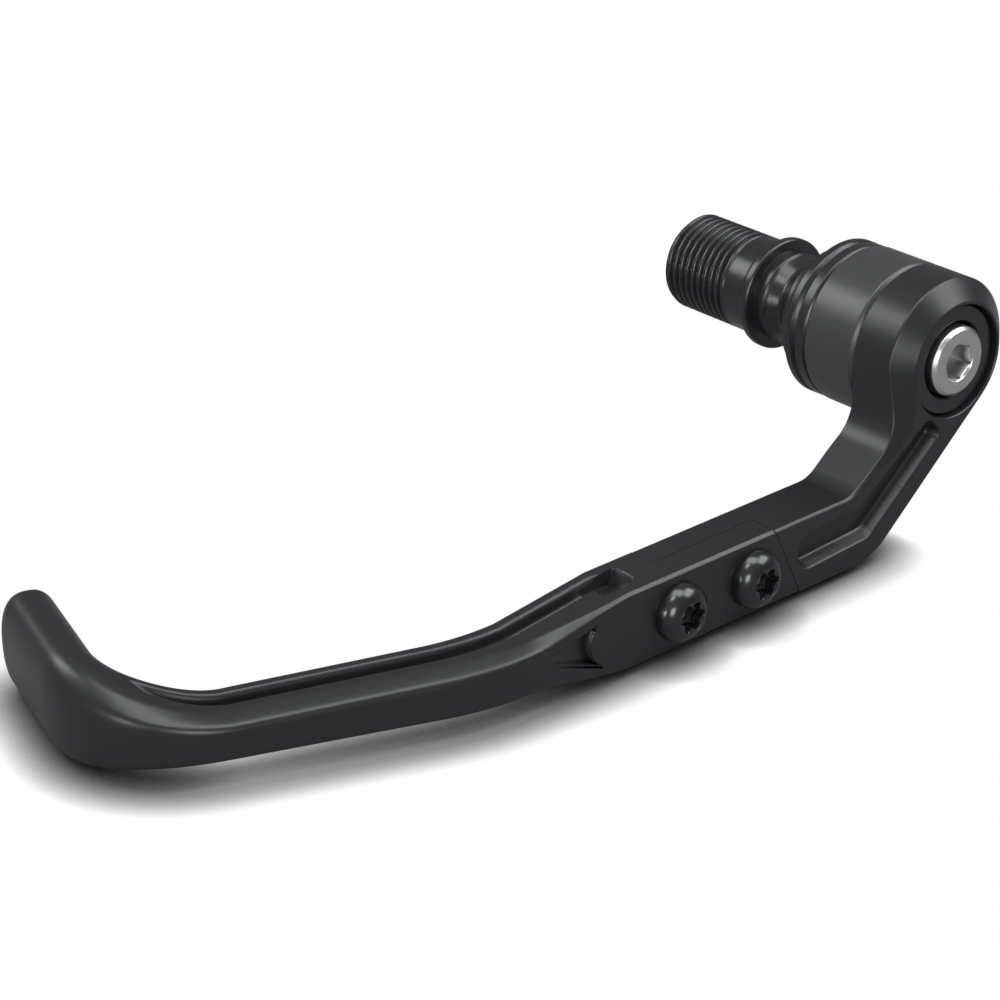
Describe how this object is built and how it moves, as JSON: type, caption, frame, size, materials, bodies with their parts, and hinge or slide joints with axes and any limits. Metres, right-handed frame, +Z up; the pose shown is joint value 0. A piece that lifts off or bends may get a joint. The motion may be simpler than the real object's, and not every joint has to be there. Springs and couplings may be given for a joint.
{
  "type": "brake lever guard",
  "caption": "Lever guard for a motorcycle: a curled blade on a flat arm, clamped to the bar end by a screw through a sleeve weight and a threaded adaptor.",
  "frame": {"origin": "on the handlebar's axis, at the seat of the adaptor's flange on the bar end", "axes": "+X outboard along the bar axis, +Z up, the blade reaches towards -Y"},
  "size_m": [0.0719, 0.1773, 0.0484],
  "materials": {
    "guard_blade": "satin moulded black",
    "mount_arm": "satin black anodised",
    "blade_screws": "black oxide, slightly glossy",
    "centre_screw": "stainless",
    "clamp_washer": "satin black anodised",
    "end_sleeve": "satin dark grey",
    "spacer_disc": "satin black anodised",
    "bar_adaptor": "satin black anodised"
  },
  "bodies": {
    "root": {"guard_blade": "guard_blade", "mount_arm": "mount_arm", "blade_screws": "blade_screws", "centre_screw": "centre_screw", "clamp_washer": "clamp_washer", "end_sleeve": "end_sleeve", "spacer_disc": "spacer_disc", "bar_adaptor": "bar_adaptor"}
  },
  "joints": []
}
